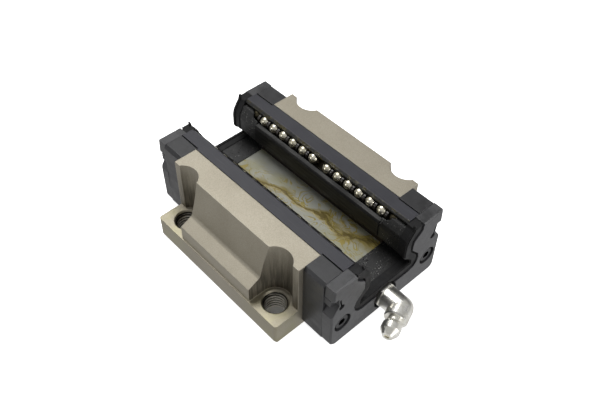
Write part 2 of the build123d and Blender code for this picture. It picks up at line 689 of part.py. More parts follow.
def nipple_head():
    """Turned head that the grease gun grips, with its pressed-in stem and the valve's chamber and seat."""
    neck_end = HEAD_START + NECK_LENGTH
    shoulder = HEAD_RADIUS - HEAD_SHOULDER_STEP
    points = [
        (0, NIPPLE_STEM_START),
        (NIPPLE_STEM_RADIUS, NIPPLE_STEM_START),
        (NIPPLE_STEM_RADIUS, HEAD_START),
        (NECK_RADIUS, HEAD_START),
        (NECK_RADIUS, neck_end),
        (shoulder, neck_end + 0.8),
        (HEAD_RADIUS, neck_end + 1.3),
        (HEAD_RADIUS, neck_end + 3.0),
        (shoulder, neck_end + 3.5),
        (TIP_RADIUS, HEAD_TIP),
        (0, HEAD_TIP),
    ]
    head = arm_plane() * revolve(Plane.XZ * Polygon(*points, align=None), axis=Axis.Z)
    seat = HEAD_TIP - VALVE_SEAT_DEPTH
    head -= arm_rod(VALVE_SEAT_RADIUS, seat - OVERSHOOT, HEAD_TIP + OVERSHOOT)
    head -= arm_rod(VALVE_CHAMBER_RADIUS, VALVE_CHAMBER_START, seat)
    passage_end = VALVE_CHAMBER_START + OVERSHOOT
    head -= arm_rod(NIPPLE_PASSAGE_RADIUS, NIPPLE_STEM_START - OVERSHOOT, passage_end)
    return head


def valve_centre():
    """Distance along the arm of the valve ball, resting against its seat."""
    seat = HEAD_TIP - VALVE_SEAT_DEPTH
    return seat - sqrt(VALVE_BALL_RADIUS**2 - VALVE_SEAT_RADIUS**2) - VALVE_SEAT_GAP


def valve_spring():
    """Coil spring between the chamber's shoulder and the valve ball."""
    start = VALVE_CHAMBER_START + SPRING_WIRE
    height = valve_centre() - SPRING_SEAT_GAP - start
    path = Helix(pitch=height / SPRING_TURNS, height=height, radius=SPRING_RADIUS)
    section = Plane(origin=path @ 0, z_dir=path % 0) * Circle(SPRING_WIRE)
    return arm_plane().offset(start) * sweep(section, path=path, is_frenet=True)


# --- the whole carriage ------------------------------------------------------------------
def main():
    os.makedirs("parts", exist_ok=True)
    circuits = {}
    for side_name, side in (("left", -1), ("right", 1)):
        circuits[side_name] = [
            Circuit(UPPER_LOAD, UPPER_TILT, side),
            Circuit(LOWER_LOAD, LOWER_TILT, side),
        ]
    every = circuits["left"] + circuits["right"]

    write("saddle_plate", saddle_plate(every))
    far_parts = {
        "return_head": return_head(every),
        "end_plate": end_plate(),
        "wiper": wiper(),
        "left_turn_guide": turn_guide(circuits["left"], -1),
        "right_turn_guide": turn_guide(circuits["right"], 1),
    }
    for name, shape in far_parts.items():
        write("far_" + name, shape)
        write("near_" + name, flip_y(shape))
    screws = [end_screw(SCREW_X), end_screw(-SCREW_X)]
    write("end_screws", *screws, *[flip_y(screw) for screw in screws])
    write("near_port_bush", flip_y(port_bush()))
    write("far_port_plug", port_plug())

    for name, shape in (
        ("top_retainer", top_retainer(circuits["right"][0])),
        ("centre_retainer", centre_retainer()),
        ("floor_retainer", floor_retainer()),
    ):
        write("right_" + name, shape)
        write("left_" + name, flip_x(shape))

    for side_name in circuits:
        for level, circuit in zip(("upper", "lower"), circuits[side_name]):
            name = f"{side_name}_{level}"
            tube = rod(*circuit.back, TUBE_RADIUS, -BODY_HALF, BODY_HALF)
            tube -= rod(*circuit.back, TUBE_BORE_RADIUS, -BODY_HALF - OVERSHOOT, BODY_HALF + OVERSHOOT)
            write(name + "_return_tube", tube)
            write_circuit(circuit, name)

    write("nipple_elbow", nipple_elbow())
    write("nipple_head", nipple_head())
    write("nipple_valve_ball", arm_plane().offset(valve_centre()) * Sphere(VALVE_BALL_RADIUS))
    write("nipple_spring", valve_spring())


main()
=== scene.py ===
import json
import math

import bpy
from mathutils import Matrix, Vector


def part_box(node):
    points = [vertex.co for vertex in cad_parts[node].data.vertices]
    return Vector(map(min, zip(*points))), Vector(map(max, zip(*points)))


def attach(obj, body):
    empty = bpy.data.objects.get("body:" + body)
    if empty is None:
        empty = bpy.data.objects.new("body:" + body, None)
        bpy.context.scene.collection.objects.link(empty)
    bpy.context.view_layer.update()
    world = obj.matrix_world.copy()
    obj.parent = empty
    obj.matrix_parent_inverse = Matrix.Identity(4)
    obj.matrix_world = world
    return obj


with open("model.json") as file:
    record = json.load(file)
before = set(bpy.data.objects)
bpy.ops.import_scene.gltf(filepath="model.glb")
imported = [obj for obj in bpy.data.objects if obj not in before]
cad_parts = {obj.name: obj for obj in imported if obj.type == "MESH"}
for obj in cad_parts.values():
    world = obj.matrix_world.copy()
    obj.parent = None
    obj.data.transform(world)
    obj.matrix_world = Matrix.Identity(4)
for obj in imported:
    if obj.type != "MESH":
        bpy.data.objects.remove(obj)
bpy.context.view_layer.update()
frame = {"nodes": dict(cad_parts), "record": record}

MM = 0.001

# --- camera: degrees, metres and the lens's millimetres; the aim is in shares of the distance ---
CAMERA_AZIMUTH = -43.308
CAMERA_ELEVATION = 47.528
CAMERA_ROLL = 1.015
CAMERA_DISTANCE = 0.25962
CAMERA_LENS = 44.668
CAMERA_SENSOR = 36
CAMERA_CLIP = (0.01, 20)
CAMERA_AIM = (-0.00729, -0.04084)

# --- light: each lamp's direction, distance and size in metres, and power in watts --
LAMPS = {
    "key": ((0.02, 0.42, 0.90), 0.80, (0.50, 0.40), 4.1),
    "left_back": ((-0.82, 0.49, 0.28), 0.90, (0.20, 0.20), 0.7),
    "front": ((0.25, -0.95, 0.25), 0.90, (0.80, 0.40), 5.5),
}
# brightness of the surroundings, from straight down (0) through the horizon (0.5) to straight up (1)
WORLD_LEVELS = ((0.0, 0.72), (0.42, 0.66), (0.50, 0.15), (0.64, 0.16), (0.82, 0.46), (1.0, 0.50))
# studio floor: size and gap under the carriage in metres, soft rim of its dark footprint in millimetres
FLOOR_SIZE = 12
FLOOR_GAP = 0.00005
FLOOR_GLOW = 0.85
FOOTPRINT_SOFTNESS = 1.5

# --- places on the carriage that the materials change at, in millimetres ----------
BODY_HALF_WIDTH, BODY_HALF_LENGTH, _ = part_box("saddle_plate")[1] / MM
CHANNEL_HALF_WIDTH, _, CHANNEL_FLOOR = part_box("right_floor_retainer")[0] / MM
LIP_WIDTH = 0.75
LIP_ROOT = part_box("right_top_retainer")[0].x / MM + LIP_WIDTH
GROOVE_FAR_SIDE = 14.5
GROOVE_FOOT = 14.0
GROOVE_TOP = 27.6
PAD_HEIGHT = 8.5
PAD_FILM_X = (24.0, 29.0)
PAD_FILM_Y = (12.0, 22.0)
POCKET_WALL_TOP = 30.0
POCKET_INNER = 20.0
# channel inside the heads: oil and painted shade
OIL_SHADE_HALF_WIDTH = 12.6
OIL_SHADE_FOOT = 8.5

# --- grease on the channel floor: the main streak in millimetres, and how tight the whorls lie --
STREAK_CENTRE = 2.6
STREAK_SLOPE = 0.17
STREAK_WANDER = 2.6
STREAK_FRINGE = 0.8
WHORL_TIGHTNESS = 48.0

# --- M8 thread in the four bores, in millimetres, with the ridge's half widths in pitches ---
THREAD_PITCH = 1.25
THREAD_DEPTH = 0.62
THREAD_BURIED = 0.04
THREAD_LOW = 0.9
THREAD_HIGH = 7.7
THREAD_STEPS = 40
THREAD_CORNERS = 4
THREAD_FOOT_HALF = 0.46
THREAD_CREST_HALF = 0.07
# radii over which the thread is painted darker towards its roots, as shade
THREAD_ROOT_START = 3.45
THREAD_ROOT_END = 3.8

# --- colours, linear -------------------------------------------------------------
STUDIO_DIM = (0.92, 0.92, 0.92)
STUDIO_WHITE = (0.96, 0.96, 0.96)
STEEL_DARK = (0.345, 0.316, 0.253)
STEEL_LIGHT = (0.385, 0.354, 0.287)
STEEL_PITS = (0.235, 0.212, 0.165)
# pale steel edges: edge wear and painted highlight
STEEL_EDGE_WEAR_AND_HIGHLIGHT = (0.56, 0.525, 0.45)
# pocket walls: dark machining tones that are painted shade of the pockets
MILLED_SHADE_DARK = (0.070, 0.060, 0.043)
MILLED_SHADE_LIGHT = (0.225, 0.200, 0.155)
# ball grooves: black oil and painted shade
GROOVE_OIL_AND_SHADE = (0.020, 0.016, 0.008)
PAD_OIL = (0.27, 0.25, 0.155)
FLOOR_PALE = (0.315, 0.320, 0.290)
FLOOR_HAZE = (0.275, 0.265, 0.170)
GREASE_THIN = (0.265, 0.205, 0.032)
GREASE_GOLD = (0.215, 0.160, 0.018)
GREASE_CORE = (0.085, 0.060, 0.010)
THREAD_DARK = (0.26, 0.245, 0.205)
THREAD_LIGHT = (0.46, 0.44, 0.39)
THREAD_OIL = (0.115, 0.100, 0.060)
# painted shade in the roots of the thread
THREAD_ROOT_SHADE = (0.018, 0.016, 0.012)
# channel inside the heads: black oil film and painted shade
BLACK_FILM_AND_SHADE = (0.0035, 0.0035, 0.0033)
# painted glints on the black oil
PALE_PAINTED_GLINT = (0.30, 0.30, 0.28)
STRIP_DARK = (0.0150, 0.0150, 0.0215)
STRIP_LIGHT = (0.0200, 0.0200, 0.0270)
STRIP_SCUFF = (0.060, 0.060, 0.070)
# pale strip edges: edge wear and painted highlight
STRIP_EDGE_WEAR_AND_HIGHLIGHT = (0.090, 0.090, 0.105)
# inner lip beside the balls: black oil and painted shade
BLACK_OIL_AND_SHADE = (0.005, 0.005, 0.0045)
YELLOW_OIL = (0.046, 0.037, 0.008)
LEDGE_DARK = (0.0035, 0.0035, 0.0034)
LEDGE_SMEAR = (0.0090, 0.0085, 0.0070)
# pale ledge edge: edge wear and painted highlight
LEDGE_EDGE_WEAR_AND_HIGHLIGHT = (0.022, 0.022, 0.022)
BROWN_DARK = (0.011, 0.0075, 0.0065)
BROWN_LIGHT = (0.034, 0.023, 0.019)
BROWN_STAIN = (0.052, 0.040, 0.018)
RUBBER_DARK = (0.0050, 0.0050, 0.0052)
RUBBER_LIGHT = (0.0095, 0.0095, 0.0100)
RUBBER_DUST = (0.045, 0.044, 0.040)
# pale rubber edges: edge wear and painted highlight
RUBBER_EDGE_WEAR_AND_HIGHLIGHT = (0.030, 0.030, 0.029)

# --- finishes that share a recipe: colours, range of roughness, relief in millimetres --
MOULDED = {
    # the heads' channel gets oil and painted shade
    "cap_plastic": dict(
        dark=(0.015, 0.015, 0.0165), light=(0.024, 0.024, 0.026),
        roughness=(0.36, 0.52), relief=0.010, oil_and_shade=True,
    ),
    "plate_plastic": dict(
        dark=(0.034, 0.034, 0.036), light=(0.060, 0.060, 0.063),
        roughness=(0.36, 0.54), relief=0.014,
    ),
    "guide_plastic": dict(
        dark=(0.016, 0.016, 0.017), light=(0.026, 0.026, 0.027),
        roughness=(0.34, 0.5), relief=0.008,
    ),
    "tube_plastic": dict(
        dark=(0.50, 0.49, 0.45), light=(0.62, 0.61, 0.57),
        roughness=(0.35, 0.5), relief=0.006,
    ),
    "spacer_plastic": dict(
        dark=(0.020, 0.017, 0.014), light=(0.042, 0.036, 0.030),
        roughness=(0.22, 0.4), relief=0.006,
    ),
}
POLISHED = {
    "ball_steel": dict(
        dark=(0.58, 0.54, 0.40), light=(0.86, 0.82, 0.69),
        roughness=(0.24, 0.34), size=1.5, relief=0.0001,
    ),
    # darkened copy of the ball finish: painted shade for the balls in the half turns
    "shaded_ball_steel": dict(
        dark=(0.030, 0.025, 0.014), light=(0.10, 0.088, 0.060),
        roughness=(0.34, 0.5), size=1.5, relief=0.0001,
    ),
    "nipple_metal": dict(
        dark=(0.74, 0.72, 0.65), light=(0.95, 0.94, 0.89),
        roughness=(0.26, 0.36), size=1.8, relief=0.0012,
    ),
}
TURNED = {
    "screw_steel": dict(dark=(0.012, 0.012, 0.013), light=(0.034, 0.034, 0.037), roughness=(0.24, 0.40)),
    "bush_brass": dict(dark=(0.50, 0.36, 0.13), light=(0.68, 0.52, 0.24), roughness=(0.22, 0.38)),
    "spring_steel": dict(dark=(0.38, 0.38, 0.40), light=(0.56, 0.56, 0.58), roughness=(0.24, 0.36)),
}


# --- camera and light ----------------------------------------------------------
def make_camera():
    """Camera above the near left corner; the aim puts the frame's origin a little off the centre."""
    azimuth = math.radians(CAMERA_AZIMUTH)
    elevation = math.radians(CAMERA_ELEVATION)
    roll = math.radians(CAMERA_ROLL)
    back = Vector((
        math.sin(azimuth) * math.cos(elevation),
        -math.cos(azimuth) * math.cos(elevation),
        math.sin(elevation),
    ))
    level = Vector((0, 0, 1)).cross(back).normalized()
    upright = back.cross(level)
    right = level * math.cos(roll) + upright * math.sin(roll)
    up = upright * math.cos(roll) - level * math.sin(roll)
    place = (back - right * CAMERA_AIM[0] - up * CAMERA_AIM[1]) * CAMERA_DISTANCE
    data = bpy.data.cameras.new("camera")
    data.lens = CAMERA_LENS
    data.sensor_width = CAMERA_SENSOR
    data.clip_start, data.clip_end = CAMERA_CLIP
    camera = bpy.data.objects.new("camera", data)
    turn = Matrix((right, up, back)).transposed().to_4x4()
    camera.matrix_world = Matrix.Translation(place) @ turn
    bpy.context.scene.collection.objects.link(camera)
    bpy.context.scene.camera = camera


def make_light(name, direction, distance, size, power):
    """Soft rectangular light that looks at the carriage from a direction."""
    data = bpy.data.lights.new(name, "AREA")
    data.shape = "RECTANGLE"
    data.size, data.size_y = size
    data.energy = power
    light = bpy.data.objects.new(name, data)
    way = Vector(direction).normalized()
    light.location = way * distance
    light.rotation_mode = "QUATERNION"
    light.rotation_quaternion = (-way).to_track_quat("-Z", "Y")
    bpy.context.scene.collection.objects.link(light)


def make_world():
    """Surroundings: bright below, darker round the horizon and pale overhead."""
    world = bpy.data.worlds.new("studio")
    world.use_nodes = True
    nodes, links = world.node_tree.nodes, world.node_tree.links
    place = nodes.new("ShaderNodeTexCoord")
    split = nodes.new("ShaderNodeSeparateXYZ")
    height = nodes.new("ShaderNodeMapRange")
    height.inputs["From Min"].default_value = -1
    ramp = nodes.new("ShaderNodeValToRGB")
    links.new(place.outputs["Generated"], split.inputs[0])
    links.new(split.outputs["Z"], height.inputs["Value"])
    links.new(height.outputs["Result"], ramp.inputs[0])
    stops = ramp.color_ramp.elements
    for position, _ in WORLD_LEVELS[1:-1]:
        stops.new(position)
    for stop, (position, level) in zip(stops, WORLD_LEVELS):
        stop.position = position
        stop.color = (level, level, level, 1)
    background = nodes["Background"]
    links.new(ramp.outputs["Color"], background.inputs["Color"])
    background.inputs["Strength"].default_value = 1.0
    bpy.context.scene.world = world


def make_floor():
    """Plain white floor that glows, but for the ground that the carriage covers."""
    bpy.ops.mesh.primitive_plane_add(size=FLOOR_SIZE, location=(0, 0, -FLOOR_GAP))
    floor = bpy.context.object
    floor.name = "floor"
    paint = Paint("floor")
    paint.colour(paint.mix(paint.noise(60, detail=3.0), STUDIO_DIM, STUDIO_WHITE))
    covered = paint.both(
        paint.band(paint.off_x, BODY_HALF_WIDTH, BODY_HALF_WIDTH - FOOTPRINT_SOFTNESS),
        paint.band(paint.off_y, BODY_HALF_LENGTH, BODY_HALF_LENGTH - FOOTPRINT_SOFTNESS),
    )
    paint.set("Roughness", 0.9)
    paint.set("Emission Color", (1, 1, 1, 1))
    paint.set("Emission Strength", paint.blend(covered, FLOOR_GLOW, 0.0))
    floor.data.materials.append(paint.material)
    floor.visible_diffuse = False
    floor.visible_glossy = False


def make_stage():
    """Floor, surroundings and lamps of a white studio."""
    make_floor()
    make_world()
    for name, lamp in LAMPS.items():
        make_light(name, *lamp)
    bpy.context.scene.view_settings.view_transform = "Standard"


# --- node material builder -------------------------------------------------------
class Paint:
    """One procedural material. Sizes are millimetres on the carriage, colours are linear."""

    def __init__(self, name):
        self.material = bpy.data.materials.new(name)
        self.material.use_nodes = True
        self.tree = self.material.node_tree
        self.shader = self.tree.nodes["Principled BSDF"]
        self.normal = None
        metres = self.node("ShaderNodeTexCoord").outputs["Object"]
        scaled = self.node("ShaderNodeVectorMath", operation="SCALE", inputs={0: metres, "Scale": 1 / MM})
        self.point = scaled.outputs[0]
        split = self.node("ShaderNodeSeparateXYZ", inputs={0: self.point})
        self.x, self.y, self.z = split.outputs
        self.off_x = self.math("ABSOLUTE", self.x)
        self.off_y = self.math("ABSOLUTE", self.y)

    def node(self, kind, inputs=None, **settings):
        made = self.tree.nodes.new(kind)
        for key, value in settings.items():
            setattr(made, key, value)
        for key, value in (inputs or {}).items():
            self.feed(made.inputs[key], value)
        return made

    def feed(self, socket, value):
        if isinstance(value, bpy.types.NodeSocket):
            self.tree.links.new(value, socket)
        elif isinstance(value, tuple) and len(value) == 3 and socket.type == "RGBA":
            socket.default_value = (*value, 1)
        else:
            socket.default_value = value

    def set(self, name, value):
        self.feed(self.shader.inputs[name], value)

    def colour(self, value):
        self.set("Base Color", value)

    def noise(self, size, detail=2.0, stretch=(1, 1, 1), distortion=0.0):
        """Smooth noise from 0 to 1 whose features are about this size; stretch draws them out."""
        squeeze = tuple(1 / (size * s) for s in stretch)
        placed = self.node("ShaderNodeVectorMath", operation="MULTIPLY", inputs={0: self.point, 1: squeeze})
        made = self.node("ShaderNodeTexNoise", inputs={
            "Vector": placed.outputs[0], "Scale": 1.0, "Detail": detail, "Distortion": distortion,
        })
        return made.outputs["Fac"]

    def math(self, operation, a, b=0.0):
        return self.node("ShaderNodeMath", operation=operation, inputs={0: a, 1: b}).outputs[0]

    def band(self, value, start, end, low=0.0, high=1.0):
        """Smooth step from low to high as value goes from start to end, in either direction."""
        made = self.node("ShaderNodeMapRange", interpolation_type="SMOOTHSTEP", inputs={
            "Value": value, "From Min": start, "From Max": end, "To Min": low, "To Max": high,
        })
        return made.outputs["Result"]

    def faded(self, mask, most):
        """Mask that rises smoothly to this share where the mask holds."""
        return self.band(mask, 0.0, 1.0, 0.0, most)

    def both(self, *masks):
        """Where all of the masks hold."""
        product = masks[0]
        for mask in masks[1:]:
            product = self.math("MULTIPLY", product, mask)
        return product

    def mix(self, amount, a, b):
        made = self.node("ShaderNodeMix", data_type="RGBA")
        self.feed(made.inputs[0], amount)
        self.feed(made.inputs[6], a)
        self.feed(made.inputs[7], b)
        return made.outputs[2]

    def blend(self, amount, a, b):
        """Number between a and b."""
        made = self.node("ShaderNodeMix", data_type="FLOAT")
        self.feed(made.inputs[0], amount)
        self.feed(made.inputs[2], a)
        self.feed(made.inputs[3], b)
        return made.outputs[0]

    def soft_edges(self, radius):
        """Rounds the shading at sharp edges and gives a mask of where they are; the materials paint these
        edges pale as edge wear and painted highlight.
        """
        bevel = self.node("ShaderNodeBevel", samples=4, inputs={"Radius": radius * MM})
        true = self.node("ShaderNodeNewGeometry").outputs["True Normal"]
        self.normal = bevel.outputs[0]
        dot = self.node("ShaderNodeVectorMath", operation="DOT_PRODUCT", inputs={0: self.normal, 1: true})
        return self.band(dot.outputs["Value"], 0.985, 0.80)

    def bump(self, height, depth):
        """Small relief of this depth, on top of what is there already."""
        made = self.node("ShaderNodeBump", inputs={
            "Height": height, "Distance": depth * MM, "Strength": 1.0,
        })
        if self.normal:
            self.feed(made.inputs["Normal"], self.normal)
        self.normal = made.outputs[0]
        self.set("Normal", self.normal)


# --- materials ---------------------------------------------------------------------
def shade(colour, factor, lift=0.0):
    """Colour made darker or lighter by a factor, and then lifted a little."""
    return tuple(value * factor + lift for value in colour)


def main_streak(paint):
    """Distance from the main streak of old grease, which wanders along the channel floor."""
    drift = paint.math("MULTIPLY", paint.y, STREAK_SLOPE)
    across = paint.math("ADD", paint.math("ADD", paint.x, drift), -STREAK_CENTRE)
    bends = paint.noise(9.0, detail=1.0, stretch=(1, 1.5, 1))
    fringe = paint.noise(1.6, detail=3.0, stretch=(1, 2.2, 1), distortion=0.6)
    wander = paint.band(bends, 0.25, 0.75, -STREAK_WANDER, STREAK_WANDER)
    feather = paint.band(fringe, 0.25, 0.75, -STREAK_FRINGE, STREAK_FRINGE)
    flow = paint.math("ADD", paint.math("ADD", across, wander), feather)
    return paint.math("ABSOLUTE", flow)


def grease_whorls(paint, distance):
    """Mask of the thin whorls beside the main streak: contour lines of a smooth noise."""
    field = paint.noise(6.0, detail=3.0, stretch=(1, 1.6, 1), distortion=1.2)
    contours = paint.math("SINE", paint.math("MULTIPLY", field, WHORL_TIGHTNESS))
    return paint.both(
        paint.band(contours, 0.35, 0.95),
        paint.band(distance, 9.0, 4.0),
        paint.band(paint.noise(4.0, detail=3.0, stretch=(1, 1.8, 1)), 0.34, 0.50),
    )


def greased_floor(paint, distance, whorls, haze):
    """Colour of the channel floor: pale film, thin gold whorls and a gold streak with a dark core."""
    colour = paint.mix(haze, FLOOR_PALE, FLOOR_HAZE)
    colour = paint.mix(paint.math("MULTIPLY", whorls, 0.9), colour, GREASE_THIN)
    colour = paint.mix(paint.band(distance, 3.0, 0.3, 0.0, 0.92), colour, GREASE_GOLD)
    return paint.mix(paint.band(distance, 0.9, 0.2, 0.0, 0.8), colour, GREASE_CORE)


def shaded_pocket_wall(paint):
    """Mask of the upright walls that the bolt pockets cut into the legs, where painted shade goes, darker
    towards the pads, deeper in the pocket.
    """
    normal = paint.node("ShaderNodeNewGeometry").outputs["True Normal"]
    upward = paint.node("ShaderNodeSeparateXYZ", inputs={0: normal}).outputs[2]
    return paint.both(
        paint.band(paint.math("ABSOLUTE", upward), 0.25, 0.12),
        paint.band(paint.z, POCKET_WALL_TOP, PAD_HEIGHT + 1.0, 0.15, 1.0),
        paint.band(paint.z, PAD_HEIGHT - 0.05, PAD_HEIGHT + 0.05),
        paint.band(paint.off_x, POCKET_INNER, POCKET_INNER + 1.0),
        paint.band(paint.off_x, BODY_HALF_WIDTH - 0.6, BODY_HALF_WIDTH - 0.8),
        paint.band(paint.off_y, BODY_HALF_LENGTH - 0.05, BODY_HALF_LENGTH - 0.2),
    )


def ball_groove(paint):
    """Mask of the ball grooves in the two sides of the channel, which are painted black as oil and shade.
    """
    return paint.both(
        paint.band(paint.off_x, CHANNEL_HALF_WIDTH - 0.3, CHANNEL_HALF_WIDTH),
        paint.band(paint.off_x, GROOVE_FAR_SIDE + 0.3, GROOVE_FAR_SIDE),
        paint.band(paint.z, GROOVE_FOOT - 0.3, GROOVE_FOOT),
        paint.band(paint.z, GROOVE_TOP + 0.3, GROOVE_TOP),
    )


def pad_film(paint):
    """Mask of the oil film that lies in patches on the four bolt pads."""
    return paint.both(
        paint.band(paint.z, PAD_HEIGHT + 0.6, PAD_HEIGHT - 0.2),
        paint.band(paint.off_x, *PAD_FILM_X),
        paint.band(paint.off_y, *PAD_FILM_Y),
        paint.band(paint.noise(4.5, detail=3.0), 0.36, 0.62, 0.25, 0.85),
    )


def channel_floor(paint):
    """Mask of the ground floor of the channel."""
    return paint.both(
        paint.band(paint.z, CHANNEL_FLOOR + 0.12, CHANNEL_FLOOR + 0.05),
        paint.band(paint.z, CHANNEL_FLOOR - 0.12, CHANNEL_FLOOR - 0.05),
        paint.band(paint.off_x, CHANNEL_HALF_WIDTH + 0.3, CHANNEL_HALF_WIDTH),
    )


def bare_steel(paint, grain, edge):
    """Colour of the blasted steel: cut pocket walls painted dark as shade, ball grooves painted black as
    oil and shade, and pale edges painted as edge wear and highlight.
    """
    cloud = paint.noise(13.0, detail=3.0)
    colour = paint.mix(paint.band(cloud, 0.2, 0.8), STEEL_DARK, STEEL_LIGHT)
    colour = paint.mix(paint.band(grain, 0.35, 0.65, 0.0, 0.30), colour, STEEL_PITS)
    # pale edges: edge wear and painted highlight
    colour = paint.mix(paint.faded(edge, 0.35), colour, STEEL_EDGE_WEAR_AND_HIGHLIGHT)
    cuts = paint.band(paint.noise(0.8, detail=3.0, stretch=(1, 1, 12)), 0.38, 0.66)
    # painted shade: the pocket walls get dark machining tones, darkest low in the pocket by the pads
    milled_and_shaded = paint.mix(cuts, MILLED_SHADE_DARK, MILLED_SHADE_LIGHT)
    colour = paint.mix(paint.math("MULTIPLY", shaded_pocket_wall(paint), 0.8), colour, milled_and_shaded)
    # oil and painted shade: the ball grooves are painted near-black where the balls run
    return paint.mix(paint.math("MULTIPLY", ball_groove(paint), 0.9), colour, GROOVE_OIL_AND_SHADE)


def body_steel():
    """Ground and blasted steel, with oil on the pads and a greasy channel floor."""
    paint = Paint("body_steel")
    edge = paint.soft_edges(0.35)
    grain = paint.noise(0.22, detail=3.0)
    grind = paint.noise(0.35, stretch=(1, 16, 1))
    film = pad_film(paint)
    oiled = paint.mix(film, bare_steel(paint, grain, edge), PAD_OIL)

    on_floor = channel_floor(paint)
    distance = main_streak(paint)
    whorls = grease_whorls(paint, distance)
    haze = paint.band(paint.noise(6.5, detail=3.0, stretch=(1, 1.7, 1)), 0.3, 0.75)
    paint.colour(paint.mix(on_floor, oiled, greased_floor(paint, distance, whorls, haze)))

    dry = paint.band(grain, 0.2, 0.8, 0.46, 0.62)
    wet = paint.blend(film, dry, 0.34)
    paint.set("Roughness", paint.blend(on_floor, wet, paint.band(haze, 0.0, 1.0, 0.34, 0.5)))
    paint.set("Metallic", paint.blend(on_floor, 0.92, 0.2))
    paint.bump(paint.math("ADD", grain, paint.math("MULTIPLY", grind, 0.5)), 0.010)
    ridges = paint.math("ADD", whorls, paint.band(distance, 2.0, 0.0))
    paint.bump(paint.both(on_floor, ridges), 0.05)
    return paint.material


def thread_steel(centre):
    """Steel of the tapped holes, with cutting marks, and painted shade: dark in the roots of the thread."""
    paint = Paint("thread_steel")
    marks = paint.noise(0.3, detail=3.0, stretch=(1, 1, 0.3))
    oil = paint.noise(2.2, detail=3.0)
    from_axis = [
        paint.math("SUBTRACT", off, middle / MM)
        for off, middle in zip((paint.off_x, paint.off_y), centre)
    ]
    squares = [paint.math("MULTIPLY", value, value) for value in from_axis]
    radius = paint.math("SQRT", paint.math("ADD", *squares))
    bare = paint.mix(paint.band(marks, 0.3, 0.7), THREAD_DARK, THREAD_LIGHT)
    bare = paint.mix(paint.band(oil, 0.4, 0.7, 0.0, 0.5), bare, THREAD_OIL)
    # painted shade: darker towards the roots of the thread
    root_shade = paint.band(radius, THREAD_ROOT_START, THREAD_ROOT_END)
    paint.colour(paint.mix(root_shade, bare, THREAD_ROOT_SHADE))
    paint.set("Metallic", 0.9)
    paint.set("Roughness", paint.band(oil, 0.3, 0.7, 0.42, 0.24))
    paint.bump(marks, 0.015)
    return paint.material


def oil_and_shade_inside(paint, base, rough):
    """Colour, roughness and relief of black oil in the channel, painted near-black as oil and shade, with
    drops and pale painted glints.
    """
    inside = paint.both(
        paint.band(paint.off_x, OIL_SHADE_HALF_WIDTH + 0.5, OIL_SHADE_HALF_WIDTH - 0.5),
        paint.band(paint.z, OIL_SHADE_FOOT, OIL_SHADE_FOOT + 1.5),
    )
    drops = paint.band(paint.noise(0.5), 0.60, 0.72)
    # painted glints: pale flecks on the black oil, standing in for light caught by it
    painted_glints = paint.both(
        paint.band(paint.noise(0.42, detail=1.0), 0.67, 0.71),
        paint.band(paint.noise(3.2), 0.46, 0.60),
    )
    # oil and painted shade: the channel inside the heads is painted near-black, with pale painted glints
    film = paint.mix(painted_glints, BLACK_FILM_AND_SHADE, PALE_PAINTED_GLINT)
    wet = paint.band(drops, 0.0, 1.0, 0.5, 0.12)
    return paint.mix(inside, base, film), paint.blend(inside, rough, wet), paint.both(inside, drops)


def moulded(name, dark, light, roughness, relief, oil_and_shade=False):
    """Moulded plastic with a fine eroded grain, handling marks, smudges, and pale edges that are edge wear
    and painted highlight.
    """
    paint = Paint(name)
    edge = paint.soft_edges(0.3)
    grain = paint.noise(0.16)
    cloud = paint.noise(7.0, detail=4.0)
    rub = paint.noise(1.6, detail=3.0, stretch=(1, 5, 1))
    smudge = paint.band(paint.noise(4.2, detail=4.0), 0.50, 0.66)
    colour = paint.mix(paint.band(cloud, 0.3, 0.7), dark, light)
    colour = paint.mix(paint.band(grain, 0.3, 0.7, 0.0, 0.3), colour, shade(dark, 0.55))
    colour = paint.mix(paint.math("MULTIPLY", smudge, 0.55), colour, shade(dark, 0.4))
    colour = paint.mix(paint.band(rub, 0.6, 0.8, 0.0, 0.35), colour, shade(light, 1.9))
    # pale edges: edge wear and painted highlight
    colour = paint.mix(paint.faded(edge, 0.3), colour, shade(light, 2.0, lift=0.01))
    wear = paint.math("ADD", cloud, paint.math("MULTIPLY", rub, 0.6))
    rough = paint.band(wear, 0.5, 1.1, *roughness)
    rough = paint.math("SUBTRACT", rough, paint.math("MULTIPLY", smudge, 0.08))
    paint.bump(grain, relief)
    # oil and painted shade inside the heads' channel
    if oil_and_shade:
        colour, rough, drops = oil_and_shade_inside(paint, colour, rough)
        paint.bump(drops, 0.05)
    paint.colour(colour)
    paint.set("Roughness", rough)
    return paint.material


